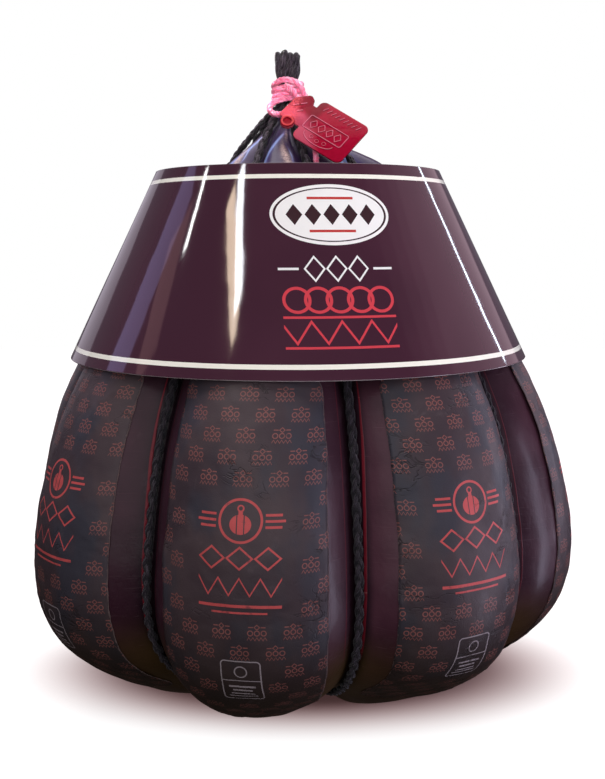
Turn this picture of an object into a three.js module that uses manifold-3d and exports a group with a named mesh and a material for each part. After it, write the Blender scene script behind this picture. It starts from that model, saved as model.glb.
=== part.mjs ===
// A whole provolone of the mandarone kind: a heavy, melon-shaped cheese in dark wax, tied with
// four ropes. Each rope runs up one groove and down another, so that eight grooves part the cheese
// into lobes, and each lobe carries a paper strip. The ropes meet in a hanging loop over the neck,
// bound with a string that holds a plastic seal, and a conical card collar sits on the shoulders.
//
// Millimetres, +Z up, the floor at z = 0. An azimuth is counted from the front (-Y) towards +X.
import * as THREE from "three";
import { mergeVertices } from "three/addons/utils/BufferGeometryUtils.js";
import Module from "manifold-3d";

const wasm = await Module();
wasm.setup();

// ---- Driving dimensions ----
const LOBES = 8;
const LOBE_STEP = (2 * Math.PI) / LOBES;
const FIRST_GROOVE = THREE.MathUtils.degToRad(12.7);

// Half sections of the cheese, as [radius, height] from the neck down to the middle of the base.
// The two lists go in step: one runs over the back of a lobe, the other down a groove. What would
// reach below z = 0 is cut off flat there: the small feet that the cheese rests on.
const CREST = [
  [0, 424], [5, 422.3], [12, 416.5], [20, 409], [29, 401], [39, 393], [50, 385], [76, 367],
  [102, 343], [127, 312], [147, 280], [165.4, 246], [182, 212], [193, 180], [200.5, 147],
  [203.5, 115], [202, 88], [195.5, 66], [183, 47.5], [165, 31.5], [144, 19.5], [120, 9.5],
  [97, 2.2], [77, -2.5], [58, -3], [40, 4], [20, 16], [0, 22],
];
const GROOVE = [
  [0, 424], [4, 422], [9.5, 417.5], [16, 410.5], [24, 401.5], [32.5, 392.5], [41, 382.5],
  [60, 366], [82, 340], [101, 309], [119, 276], [139, 242], [153, 210], [161, 180], [167, 148],
  [171, 116], [169.5, 92], [161, 71], [146, 54], [128, 42], [108, 34], [89, 29.5], [72, 27],
  [56, 25], [42, 23.8], [28, 23], [14, 22.3], [0, 22],
];
const BULGE_POWER = 2.4; // how square a lobe's cross-section is, from groove to groove
const NECK_LEAN = -6.8; // how far the neck and the ropes over it stand aside, along X
const LEAN_START = 360; // the height at which the neck begins to lean
const LEAN_END = 414;

// Lobe by lobe, from the one after the first groove, and as a radius: how much fuller it is at
// the shoulder, at its widest, and low down, and how much further its low part hangs to one side.
const LOBE_SHOULDER = [8, 19, 4, 0, -1, 0, 5, 2];
const LOBE_SWELL = [-1, 2, -2, 1, 0, -1.5, 2, -1];
const LOBE_SAG = [-17, -14, -3, -6, -4, -2, -6, -8];
const LOBE_SKEW = [32, -20, 8, -6, 4, 6, -14, -20];
const SHOULDER_HEIGHT = 388;
const SHOULDER_REACH = 16;
const SWELL_HEIGHT = 120;
const SWELL_REACH = 70;
const SAG_HEIGHT = 28;
const SAG_REACH = 24;

// Where the facets lie, across a lobe (-1 and 1 are its grooves) and along the half section.
const LOBE_COLUMNS = [-1, -0.88, -0.7, -0.46, -0.23, 0, 0.23, 0.46, 0.7, 0.88];
const CHEESE_ROWS = 30;

const LABEL_THICKNESS = 0.5;
const LABEL_GAP = 0.4; // to the wax, and below the collar to the card
const LABEL_FIRST_ROW = 12; // just under the collar's lower edge
const LABEL_CORNER = 0.5; // how far the upper corners are cut off, in rows
const LABEL_LAST_ROW = 22; // short of the foot
const LABEL_FIRST_COLUMN = 2; // of LOBE_COLUMNS, the strip's edges
const LABEL_LAST_COLUMN = 8;
const LABEL_ASIDE = [0, 1, 0, 0, 0, 0, 0, 0]; // lobe by lobe, how many columns it lies aside

const ROPE_RADIUS = 3.3;
const ROPE_SEAT = 6.6; // from the bottom of the groove to the rope's middle
const ROPE_SEAT_BELOW = 12.6; // the same under the base, where the grooves are narrow
const ROPE_SIDES = 6;
const ROPE_LAST_ROW = 28; // of CHEESE_ROWS, where each rope meets the crossing under the base
const ROPE_FIRST_ROW = 2; // where it leaves the neck for the hanging loop
const CROSSING_RADIUS = 12;
const CROSSING_HALF_HEIGHT = 4.4;

// The hanging loop: four ropes stand side by side in the tie and fold over at the top. Each goes
// up one groove of the front and down one of the back, counted from the first groove, and may
// ride high where it crosses the shoulder.
const ROPES = [
  { front: 6, back: 5, column: -1.5, top: 468.6, ride: 0 },
  { front: 7, back: 4, column: -0.5, top: 470, ride: 0 },
  { front: 0, back: 3, column: 0.5, top: 468.4, ride: 0 },
  { front: 1, back: 2, column: 1.5, top: 468, ride: 5 },
];
const LOOP_FOOT = 431.5;
const LOOP_PITCH = 4.4; // from one column to the next
const LOOP_ROW = 3.2; // from the middle of the loop to a rope's middle, front and back
const LOOP_HALF_WIDTH = 2.1; // the ropes are pressed narrow where they are tied together
const LOOP_HALF_DEPTH = 2.9;
const PINCH_PITCH = 0.84; // how much nearer the tie draws them, and how much narrower
const PINCH_WIDTH = 0.76;
const PINCH_TOP = 447;
const PINCH_END = 455; // where they stand at their full width again

const STRING_RADIUS = 2;
const STRING_STEPS = 100;
const STRING_SIDES = 7;
const TIE_TOP = 445.6; // where the first turn starts, at the left
const TIE_START = -0.42 * Math.PI; // the azimuth there
const TIE_TURNS = 2.8;
const TIE_PITCH = 4.25;
const TIE_SLANT = 1.6; // how much higher a turn lies on the right than in the middle
const TIE_HALF_WIDTH = 9.8;
const TIE_HALF_DEPTH = 9.5;
const TIE_SQUARENESS = 0.62; // 1 would wind the string in an ellipse

// The string outside the turns, from the middle of the hanging loop. The tail comes up from the
// shoulder and arches over the front of the tie to the left. The bight goes down at the left,
// passes behind the seal's head and slants back up over the turns.
const STRING_TAIL = [
  [20.6, -52.8, 384.5], [20.2, -49.5, 390], [19.8, -44, 398], [19.6, -36, 408], [19.4, -28, 417.5],
  [18, -21.5, 425.5], [14.8, -16.6, 431.8], [11.6, -14.2, 436.6], [10.2, -13.6, 440.4],
  [7.4, -13.1, 444], [1.8, -12.3, 446.4], [-4.4, -11.9, 446.4],
];
const STRING_BIGHT = [
  [-5, -11, 432.8], [-9.2, -12.2, 430.8], [-12, -14.6, 428], [-12.5, -19, 424.6], [-10, -23.6, 421.6],
  [-5.2, -27.2, 420.6], [0.2, -28.4, 421.4], [4.8, -27.2, 424], [7.6, -24.2, 427.8],
  [7.6, -20, 432], [5, -17.4, 436.4], [1.8, -16, 440], [-1.8, -15.6, 442.8],
];

const COLLAR_TOP_RADIUS = 104;
const COLLAR_FOOT_RADIUS = 168.45;
const COLLAR_TOP = 381.5;
const COLLAR_FOOT = 248.3;
const CARD_THICKNESS = 0.8;
const COLLAR_TILT = THREE.MathUtils.degToRad(-0.15);
const COLLAR_SHIFT = 0.7;
const COLLAR_SIDES = 80;

const SEAL_PLATE = [41, 38]; // along the seal and across it
const SEAL_HEAD = [ // its corners: the upper ones are cut off
  [-23.7, 12.2], [-25.2, 15.4], [-28.2, 17.5], [-30.4, 17.2], [-37.6, 10.2], [-38.5, 8.2],
  [-38.5, -7.6], [-37.2, -9.4], [-23.7, -9.4],
];
const SEAL_NECK = [8, 20.6];
const SEAL_NECK_CENTRE = [-22.1, 0.9]; // bridges the open part between the plate and the head
const SEAL_CORNER = 4.5;
const SEAL_THICKNESS = 1.4;
const SEAL_KNOB_RADIUS = 5;
const SEAL_KNOB_HEIGHT = 3.4;
const SEAL_KNOB_CENTRE = [-29.2, -11.3];
const SEAL_FRAME = [33, 12.8]; // the raised frame on the plate
const SEAL_FRAME_CENTRE = [-3, -2];
const SEAL_FRAME_WIDTH = 1;
const SEAL_RELIEF = 0.6;
const SEAL_CENTRE = [23.7, -44.6, 405.9]; // the plate's middle
const SEAL_ROLL = THREE.MathUtils.degToRad(-37);
const SEAL_LEAN = THREE.MathUtils.degToRad(-33);

const MATERIALS = {
  wax: new THREE.MeshStandardMaterial({ color: 0x2a1526, roughness: 0.35 }),
  paper: new THREE.MeshStandardMaterial({ color: 0x2f2a30, roughness: 0.6 }),
  rope: new THREE.MeshStandardMaterial({ color: 0x1d181d, roughness: 0.8 }),
  card: new THREE.MeshStandardMaterial({ color: 0x45222f, roughness: 0.15 }),
  string: new THREE.MeshStandardMaterial({ color: 0xe0507a, roughness: 0.5 }),
  seal: new THREE.MeshStandardMaterial({ color: 0xb00a32, roughness: 0.2 }),
};

// ---- The shape of the cheese ----
const inPlane = ([radius, height]) => new THREE.Vector3(radius, 0, height);
const crestCurve = new THREE.CatmullRomCurve3(CREST.map(inPlane));
const grooveCurve = new THREE.CatmullRomCurve3(GROOVE.map(inPlane));

/** How far the axis stands aside at a height: upright below, leaning through the neck. */
function leanAt(height) {
  return NECK_LEAN * THREE.MathUtils.smoothstep(height, LEAN_START, LEAN_END);
}

/** The point at a radius and height on an azimuth, round the leaning axis. */
function onAzimuth(azimuth, radius, height) {
  const x = radius * Math.sin(azimuth) + leanAt(height);
  return new THREE.Vector3(x, -radius * Math.cos(azimuth), height);
}

/** A bell that is 1 at the middle and nearly 0 two reaches away. */
function bell(height, middle, reach) {
  return Math.exp(-(((height - middle) / reach) ** 2));
}

/** The azimuth of a place across a lobe, where -1 and 1 are its two grooves. */
function lobeAzimuth(lobe, across) {
  return FIRST_GROOVE + (lobe + (across + 1) / 2) * LOBE_STEP;
}

/** A point of the wax: across a lobe from -1 to 1, and along the half section from 0 to 1. */
function skinPoint(lobe, across, along) {
  const crest = crestCurve.getPoint(along);
  const groove = grooveCurve.getPoint(along);
  const bulge = 1 - Math.abs(across) ** BULGE_POWER;
  const hanging = bell(crest.z, SAG_HEIGHT, SAG_REACH) * Math.min(crest.x / 100, 1);
  const fuller =
    LOBE_SHOULDER[lobe] * bell(crest.z, SHOULDER_HEIGHT, SHOULDER_REACH) +
    LOBE_SWELL[lobe] * bell(crest.z, SWELL_HEIGHT, SWELL_REACH) +
    (LOBE_SAG[lobe] + LOBE_SKEW[lobe] * across) * hanging;
  const radius = groove.x + (crest.x - groove.x) * bulge + fuller * bulge ** 2;
  const height = groove.z + (crest.z - groove.z) * bulge;
  return onAzimuth(lobeAzimuth(lobe, across), radius, Math.max(height, 0));
}

/** The outward direction of the wax at the same place. */
function skinNormal(lobe, across, along) {
  const step = 0.004;
  const sideways = skinPoint(lobe, across + step, along).sub(skinPoint(lobe, across - step, along));
  const down = skinPoint(lobe, across, along + step).sub(skinPoint(lobe, across, along - step));
  return down.cross(sideways).normalize();
}

// ---- Making closed solids ----
/** A closed solid of rings of points, joined one to the next, with a fan to a point at each end. */
function solidFromRings(rings, firstPole, lastPole) {
  const count = rings[0].length;
  const positions = [firstPole, ...rings.flat(), lastPole].flatMap((p) => p.toArray());
  const last = rings.length * count + 1;
  const at = (ring, i) => 1 + ring * count + (i % count);
  const index = [];
  for (let i = 0; i < count; i++) {
    index.push(0, at(0, i), at(0, i + 1));
    for (let r = 0; r + 1 < rings.length; r++) {
      index.push(at(r, i), at(r + 1, i), at(r, i + 1));
      index.push(at(r, i + 1), at(r + 1, i), at(r + 1, i + 1));
    }
    index.push(last, at(rings.length - 1, i + 1), at(rings.length - 1, i));
  }
  return indexedGeometry(positions, index);
}

/** A closed solid between two grids of points, rows by columns, the first on the outside. */
function solidFromSheets(outer, inner) {
  const rows = outer.length;
  const columns = outer[0].length;
  const positions = [...outer.flat(), ...inner.flat()].flatMap((p) => p.toArray());
  const out = (r, c) => r * columns + c;
  const back = (r, c) => rows * columns + r * columns + c;
  const index = [];
  const quad = (a, b, c, d) => index.push(a, b, c, c, b, d);
  for (let r = 0; r + 1 < rows; r++) {
    for (let c = 0; c + 1 < columns; c++) {
      quad(out(r, c), out(r + 1, c), out(r, c + 1), out(r + 1, c + 1));
      index.push(back(r, c), back(r, c + 1), back(r + 1, c));
      index.push(back(r, c + 1), back(r + 1, c + 1), back(r + 1, c));
    }
    quad(back(r, 0), back(r + 1, 0), out(r, 0), out(r + 1, 0));
    quad(out(r, columns - 1), out(r + 1, columns - 1), back(r, columns - 1), back(r + 1, columns - 1));
  }
  for (let c = 0; c + 1 < columns; c++) {
    quad(back(0, c), out(0, c), back(0, c + 1), out(0, c + 1));
    quad(out(rows - 1, c), back(rows - 1, c), out(rows - 1, c + 1), back(rows - 1, c + 1));
  }
  return indexedGeometry(positions, index);
}

function indexedGeometry(positions, index) {
  const geometry = new THREE.BufferGeometry();
  geometry.setAttribute("position", new THREE.Float32BufferAttribute(positions, 3));
  geometry.setIndex(index);
  geometry.computeVertexNormals();
  return geometry;
}

/** A closed rod along stations, each with a centre, a sideways direction, and half sizes. */
function rod(stations, sides) {
  const rings = stations.map(({ centre, sideways, halfWidth, halfDepth }, i) => {
    const before = stations[Math.max(i - 1, 0)].centre;
    const after = stations[Math.min(i + 1, stations.length - 1)].centre;
    const tangent = after.clone().sub(before).normalize();
    const width = sideways.clone().addScaledVector(tangent, -sideways.dot(tangent)).normalize();
    const depth = new THREE.Vector3().crossVectors(width, tangent);
    return Array.from({ length: sides }, (_, k) => {
      const turn = (2 * Math.PI * (k + 0.5)) / sides;
      const point = centre.clone().addScaledVector(width, halfWidth * Math.cos(turn));
      return point.addScaledVector(depth, halfDepth * Math.sin(turn));
    });
  });
  return solidFromRings(rings, stations[0].centre, stations[stations.length - 1].centre);
}

function toManifold(geometry) {
  const bare = geometry.index ? geometry.toNonIndexed() : geometry.clone();
  bare.deleteAttribute("normal");
  bare.deleteAttribute("uv");
  const merged = mergeVertices(bare, 1e-3);
  const vertProperties = merged.getAttribute("position").array;
  const triVerts = new Uint32Array(merged.index.array);
  return new wasm.Manifold(new wasm.Mesh({ numProp: 3, vertProperties, triVerts }));
}

function fromManifold(solid) {
  const mesh = solid.getMesh();
  return indexedGeometry([...mesh.vertProperties], [...mesh.triVerts]);
}

/** Several closed geometries joined into one. */
function joined(geometries) {
  return fromManifold(geometries.map(toManifold).reduce((whole, next) => whole.add(next)));
}

// ---- The parts ----
const provolone = new THREE.Group();

function add(name, geometry, material, parent = provolone) {
  const mesh = new THREE.Mesh(geometry, material);
  mesh.name = name;
  parent.add(mesh);
  return mesh;
}

/** The waxed cheese: rings from the neck down, each going once round all the lobes. */
function makeCheese() {
  const rings = [];
  for (let row = 1; row < CHEESE_ROWS; row++) {
    const ring = [];
    for (let lobe = 0; lobe < LOBES; lobe++) {
      for (const across of LOBE_COLUMNS) ring.push(skinPoint(lobe, across, row / CHEESE_ROWS));
    }
    rings.push(ring);
  }
  const top = onAzimuth(0, 0, CREST[0][1]);
  const base = onAzimuth(0, 0, CREST[CREST.length - 1][1]);
  add("cheese", solidFromRings(rings, top, base), MATERIALS.wax);
}

/** One lobe's paper strip, lying on the same facets as the wax under it. */
function makeLabel(lobe) {
  const aside = LABEL_ASIDE[lobe];
  const columns = LOBE_COLUMNS.slice(LABEL_FIRST_COLUMN + aside, LABEL_LAST_COLUMN + aside + 1);
  const sheet = (lift) => {
    const rows = [];
    for (let row = LABEL_FIRST_ROW; row <= LABEL_LAST_ROW; row++) {
      const points = columns.map((across, column) => {
        const atEdge = column === 0 || column === columns.length - 1;
        const cut = row === LABEL_FIRST_ROW && atEdge ? LABEL_CORNER : 0;
        const along = (row + cut) / CHEESE_ROWS;
        return skinPoint(lobe, across, along).addScaledVector(skinNormal(lobe, across, along), lift);
      });
      rows.push(points);
    }
    return rows;
  };
  const geometry = solidFromSheets(sheet(LABEL_GAP + LABEL_THICKNESS), sheet(LABEL_GAP));
  add(`label_${lobe + 1}`, geometry, MATERIALS.paper);
}

/** The stations of a rope along its groove, from the crossing up to the neck. */
function grooveStations(groove, side, ride) {
  const azimuth = FIRST_GROOVE + groove * LOBE_STEP;
  const sideways = new THREE.Vector3(Math.cos(azimuth), Math.sin(azimuth), 0).multiplyScalar(side);
  const stations = [];
  for (let row = ROPE_LAST_ROW; row >= ROPE_FIRST_ROW; row--) {
    const bottom = grooveCurve.getPoint(row / CHEESE_ROWS);
    const along = grooveCurve.getTangent(row / CHEESE_ROWS);
    const below = THREE.MathUtils.smoothstep(row, 20, 25);
    const seat =
      THREE.MathUtils.lerp(ROPE_SEAT, ROPE_SEAT_BELOW, below) +
      ride * bell(bottom.z, SHOULDER_HEIGHT, SHOULDER_REACH);
    const radius = bottom.x - along.z * seat;
    const height = bottom.z + along.x * seat;
    const centre = onAzimuth(azimuth, radius, height);
    stations.push({ centre, sideways, halfWidth: ROPE_RADIUS, halfDepth: ROPE_RADIUS });
  }
  return stations;
}

/** One rope: up a groove of the front, over the top of the hanging loop, and down the back. */
function makeRope({ front, back, column, top, ride }, number) {
  const sideways = new THREE.Vector3(1, 0, 0);
  const place = (y, z) => {
    const free = THREE.MathUtils.smoothstep(z, PINCH_TOP, PINCH_END);
    const aside = column * LOOP_PITCH * THREE.MathUtils.lerp(PINCH_PITCH, 1, free);
    const halfWidth = LOOP_HALF_WIDTH * THREE.MathUtils.lerp(PINCH_WIDTH, 1, free);
    const centre = new THREE.Vector3(NECK_LEAN + aside, y, z);
    return { centre, sideways, halfWidth, halfDepth: LOOP_HALF_DEPTH };
  };
  const heights = [LOOP_FOOT, PINCH_TOP, PINCH_END];
  const bend = top - LOOP_HALF_DEPTH - LOOP_ROW; // where the fold begins
  const loop = heights.map((z) => place(-LOOP_ROW, z));
  for (let i = 0; i <= 6; i++) {
    const turn = (Math.PI * i) / 6;
    loop.push(place(-LOOP_ROW * Math.cos(turn), bend + LOOP_ROW * Math.sin(turn)));
  }
  loop.push(...heights.reverse().map((z) => place(LOOP_ROW, z)));
  const frontSide = grooveStations(front, 1, ride);
  const backSide = grooveStations(back, -1, ride).reverse();
  add(`rope_${number}`, rod([...frontSide, ...loop, ...backSide], ROPE_SIDES), MATERIALS.rope);
}

/** The crossing of the ropes under the base: a flattened knot. */
function makeCrossing() {
  const knot = new THREE.SphereGeometry(CROSSING_RADIUS, 12, 6);
  knot.rotateX(Math.PI / 2);
  knot.scale(1, 1, CROSSING_HALF_HEIGHT / CROSSING_RADIUS);
  knot.translate(0, 0, GROOVE[GROOVE.length - 1][1] - ROPE_SEAT_BELOW);
  add("rope_crossing", knot, MATERIALS.rope);
}

/** The string: a tail that arches over the tie, turns round the ropes, and a bight at the seal. */
function makeString() {
  const points = [];
  const put = (x, y, z) => points.push(new THREE.Vector3(NECK_LEAN + x, y, z));
  for (const [x, y, z] of STRING_TAIL) put(x, y, z);
  const stepsPerTurn = 12;
  const corner = (value) => Math.sign(value) * Math.abs(value) ** TIE_SQUARENESS;
  for (let i = 0; i <= TIE_TURNS * stepsPerTurn; i++) {
    const turned = i / stepsPerTurn;
    const angle = TIE_START - 2 * Math.PI * turned;
    const aside = corner(Math.sin(angle));
    const y = -TIE_HALF_DEPTH * corner(Math.cos(angle));
    put(TIE_HALF_WIDTH * aside, y, TIE_TOP - TIE_PITCH * turned + TIE_SLANT * aside);
  }
  for (const [x, y, z] of STRING_BIGHT) put(x, y, z);
  const corners = Array.from({ length: STRING_SIDES }, (_, i) => {
    const turn = (2 * Math.PI * i) / STRING_SIDES;
    return new THREE.Vector2(STRING_RADIUS * Math.cos(turn), STRING_RADIUS * Math.sin(turn));
  });
  const section = new THREE.Shape(corners);
  const string = new THREE.ExtrudeGeometry(section, {
    extrudePath: new THREE.CatmullRomCurve3(points),
    steps: STRING_STEPS,
    bevelEnabled: false,
  });
  add("tie_string", string, MATERIALS.string);
}

/** The card collar, a cone open at both ends. */
function makeCollar() {
  const profile = [
    [COLLAR_FOOT_RADIUS, COLLAR_FOOT], [COLLAR_TOP_RADIUS, COLLAR_TOP],
    [COLLAR_TOP_RADIUS - CARD_THICKNESS, COLLAR_TOP], [COLLAR_FOOT_RADIUS - CARD_THICKNESS, COLLAR_FOOT],
    [COLLAR_FOOT_RADIUS, COLLAR_FOOT],
  ];
  const middle = (COLLAR_TOP + COLLAR_FOOT) / 2;
  const points = profile.map(([radius, height]) => new THREE.Vector2(radius, height - middle));
  const cone = new THREE.LatheGeometry(points, COLLAR_SIDES);
  cone.rotateX(Math.PI / 2);
  const collar = add("collar", cone, MATERIALS.card);
  collar.position.set(COLLAR_SHIFT, 0, middle);
  collar.rotation.y = COLLAR_TILT;
}

function roundedRectangle([width, height], radius, [centreX, centreY] = [0, 0]) {
  const shape = new THREE.Shape();
  const x = centreX - width / 2;
  const y = centreY - height / 2;
  shape.moveTo(x + radius, y);
  shape.lineTo(x + width - radius, y);
  shape.absarc(x + width - radius, y + radius, radius, -Math.PI / 2, 0);
  shape.absarc(x + width - radius, y + height - radius, radius, 0, Math.PI / 2);
  shape.absarc(x + radius, y + height - radius, radius, Math.PI / 2, Math.PI);
  shape.absarc(x + radius, y + radius, radius, Math.PI, Math.PI * 1.5);
  return shape;
}

/** The seal: a plate and a head joined by a short neck, with a raised frame and a locking knob. */
function makeSeal() {
  const slab = (shape, depth) =>
    new THREE.ExtrudeGeometry(shape, { depth, bevelEnabled: false, curveSegments: 4 });
  const plate = slab(roundedRectangle(SEAL_PLATE, SEAL_CORNER), SEAL_THICKNESS);
  const corners = SEAL_HEAD.map(([x, y]) => new THREE.Vector2(x, y));
  const head = slab(new THREE.Shape(corners), SEAL_THICKNESS);
  const neck = slab(roundedRectangle(SEAL_NECK, 0.8, SEAL_NECK_CENTRE), SEAL_THICKNESS);
  const frameShape = roundedRectangle(SEAL_FRAME, 1.5, SEAL_FRAME_CENTRE);
  const inside = SEAL_FRAME.map((size) => size - 2 * SEAL_FRAME_WIDTH);
  frameShape.holes.push(roundedRectangle(inside, 0.8, SEAL_FRAME_CENTRE));
  const frame = slab(frameShape, SEAL_THICKNESS + SEAL_RELIEF);
  const knob = new THREE.CylinderGeometry(SEAL_KNOB_RADIUS, SEAL_KNOB_RADIUS, SEAL_KNOB_HEIGHT, 16);
  knob.rotateX(Math.PI / 2);
  knob.translate(...SEAL_KNOB_CENTRE, SEAL_KNOB_HEIGHT / 2);
  const facing = new THREE.Group(); // turns the flat seal from lying face up to standing face front
  facing.position.set(...SEAL_CENTRE);
  facing.rotation.set(Math.PI / 2 + SEAL_LEAN, 0, 0);
  const seal = add("seal", joined([plate, head, neck, frame, knob]), MATERIALS.seal, facing);
  seal.rotation.z = SEAL_ROLL;
  provolone.add(facing);
}

makeCheese();
for (let lobe = 0; lobe < LOBES; lobe++) makeLabel(lobe);
ROPES.forEach((rope, i) => makeRope(rope, i + 1));
makeCrossing();
makeString();
makeCollar();
makeSeal();

// The origin is the middle of the footprint, on the floor.
const box = new THREE.Box3().setFromObject(provolone, true);
const middle = box.getCenter(new THREE.Vector3());
provolone.position.set(-middle.x, -middle.y, 0);

export default provolone;
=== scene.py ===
"""The looks of a waxed provolone with paper strips, plaited ropes, a card collar and a plastic seal.

Everything is worked out in millimetres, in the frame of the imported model, and goes to metres when a
mesh is made. The sizes are those of the part's own source. The lights and the camera are placed in
metres.
"""
import functools
import math

import bmesh
import bpy
import numpy as np
from mathutils import Matrix, Vector


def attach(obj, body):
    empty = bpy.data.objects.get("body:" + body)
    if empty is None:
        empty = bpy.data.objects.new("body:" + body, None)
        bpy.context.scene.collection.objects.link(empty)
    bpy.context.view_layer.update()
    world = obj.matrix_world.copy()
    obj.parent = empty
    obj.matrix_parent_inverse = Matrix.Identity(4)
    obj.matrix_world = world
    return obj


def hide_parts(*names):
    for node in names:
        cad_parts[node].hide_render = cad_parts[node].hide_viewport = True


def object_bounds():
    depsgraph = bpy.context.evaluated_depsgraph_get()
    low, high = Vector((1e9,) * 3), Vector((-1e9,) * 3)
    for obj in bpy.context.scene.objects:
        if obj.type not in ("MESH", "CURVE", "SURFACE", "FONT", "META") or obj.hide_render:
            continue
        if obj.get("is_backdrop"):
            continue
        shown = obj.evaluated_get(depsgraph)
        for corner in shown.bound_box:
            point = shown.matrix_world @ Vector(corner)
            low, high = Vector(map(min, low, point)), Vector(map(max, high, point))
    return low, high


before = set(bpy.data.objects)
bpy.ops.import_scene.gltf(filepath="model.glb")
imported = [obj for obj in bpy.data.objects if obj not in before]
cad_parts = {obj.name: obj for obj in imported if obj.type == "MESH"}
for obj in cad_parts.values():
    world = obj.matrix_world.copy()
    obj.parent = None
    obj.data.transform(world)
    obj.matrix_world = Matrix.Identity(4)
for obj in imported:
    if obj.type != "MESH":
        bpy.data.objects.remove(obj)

cad_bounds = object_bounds()
MM = 0.001

# ---- The form of the cheese, as in the part's source ----
SHIFT = np.array([-1.584, -0.905, 0.0])  # the source's last step, which centres the footprint
LOBES = 8
STEP = math.tau / LOBES
FIRST_GROOVE = math.radians(12.7)
CREST = [
    (0, 424), (5, 422.3), (12, 416.5), (20, 409), (29, 401), (39, 393), (50, 385), (76, 367),
    (102, 343), (127, 312), (147, 280), (165.4, 246), (182, 212), (193, 180), (200.5, 147),
    (203.5, 115), (202, 88), (195.5, 66), (183, 47.5), (165, 31.5), (144, 19.5), (120, 9.5),
    (97, 2.2), (77, -2.5), (58, -3), (40, 4), (20, 16), (0, 22),
]
GROOVE = [
    (0, 424), (4, 422), (9.5, 417.5), (16, 410.5), (24, 401.5), (32.5, 392.5), (41, 382.5),
    (60, 366), (82, 340), (101, 309), (119, 276), (139, 242), (153, 210), (161, 180), (167, 148),
    (171, 116), (169.5, 92), (161, 71), (146, 54), (128, 42), (108, 34), (89, 29.5), (72, 27),
    (56, 25), (42, 23.8), (28, 23), (14, 22.3), (0, 22),
]
BULGE_POWER = 2.4
NECK_LEAN = -6.8
LEAN_FROM, LEAN_TO = 360, 414  # the heights between which the axis leans over
# The stretches in which the lobes differ: the height of each one's middle, and how far it reaches.
SHOULDER, SWELL, SAG = (388, 16), (120, 70), (28, 24)
# How far past the crest each lobe stands out there. The skew adds to one side of its sag, and takes
# from the other.
LOBE_SHOULDER = np.array([8, 19, 4, 0, -1, 0, 5, 2], float)
LOBE_SWELL = np.array([-1, 2, -2, 1, 0, -1.5, 2, -1], float)
LOBE_SAG = np.array([-17, -14, -3, -6, -4, -2, -6, -8], float)
LOBE_SKEW = np.array([32, -20, 8, -6, 4, 6, -14, -20], float)
ROWS = 30  # of the source's cheese; its labels and ropes are placed by these rows
STRIP_FIRST, STRIP_LAST = 12 / ROWS, 22 / ROWS  # a paper strip's ends, along the half section


def stack(*values):
    """Values side by side along a new last axis, each spread to the same shape."""
    return np.stack(np.broadcast_arrays(*values), axis=-1)


def smoothstep(value, low, high):
    t = np.clip((value - low) / (high - low), 0, 1)
    return t * t * (3 - 2 * t)


def spline(points, at):
    """A centripetal Catmull-Rom curve through points, at places counted in points from 0."""
    points = np.asarray(points, float)
    last = len(points) - 1
    padded = np.vstack([2 * points[0] - points[1], points, 2 * points[-1] - points[-2]])
    at = np.clip(at, 0, last)
    i = np.minimum(at.astype(int), last - 1)
    w = (at - i)[..., None]
    p0, p1, p2, p3 = (padded[i + k] for k in range(4))
    gap = lambda a, b: np.maximum(np.sqrt(np.linalg.norm(b - a, axis=-1, keepdims=True)), 1e-4)
    d0, d1, d2 = gap(p0, p1), gap(p1, p2), gap(p2, p3)
    t1 = ((p1 - p0) / d0 - (p2 - p0) / (d0 + d1) + (p2 - p1) / d1) * d1
    t2 = ((p2 - p1) / d1 - (p3 - p1) / (d1 + d2) + (p3 - p2) / d2) * d1
    return p1 + t1 * w + (3 * (p2 - p1) - 2 * t1 - t2) * w**2 + (2 * (p1 - p2) + t1 + t2) * w**3


def half_section(points, along):
    return spline(points, along * (len(points) - 1))


def on_azimuth(azimuth, radius, height):
    """Points at a radius and height on an azimuth, round the axis that leans through the neck."""
    x = radius * np.sin(azimuth) + NECK_LEAN * smoothstep(height, LEAN_FROM, LEAN_TO)
    return stack(x, -radius * np.cos(azimuth), height) + SHIFT


def bell(value, middle, reach):
    return np.exp(-(((value - middle) / reach) ** 2))


def smooth_skin(lobe, across, along):
    """Points of the wax: across a lobe from -1 to 1, and along the half section from 0 to 1."""
    lobe, across, along = np.broadcast_arrays(lobe, across, along)
    crest = half_section(CREST, along)
    groove = half_section(GROOVE, along)
    bulge = 1 - np.abs(across) ** BULGE_POWER
    r, z = crest[..., 0], crest[..., 1]
    fuller = (
        LOBE_SHOULDER[lobe] * bell(z, *SHOULDER)
        + LOBE_SWELL[lobe] * bell(z, *SWELL)
        + (LOBE_SAG[lobe] + LOBE_SKEW[lobe] * across) * bell(z, *SAG) * np.minimum(r / 100, 1)
    )
    radius = groove[..., 0] + (r - groove[..., 0]) * bulge + fuller * bulge**2
    height = np.maximum(groove[..., 1] + (z - groove[..., 1]) * bulge, 0)
    return on_azimuth(FIRST_GROOVE + (lobe + (across + 1) / 2) * STEP, radius, height)


def skin_normal(lobe, across, along):
    step = 0.004
    sideways = smooth_skin(lobe, across + step, along) - smooth_skin(lobe, across - step, along)
    down = smooth_skin(lobe, across, along + step) - smooth_skin(lobe, across, along - step)
    return unit(np.cross(down, sideways))


def unit(vectors):
    return vectors / np.maximum(np.linalg.norm(vectors, axis=-1, keepdims=True), 1e-9)


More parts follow.
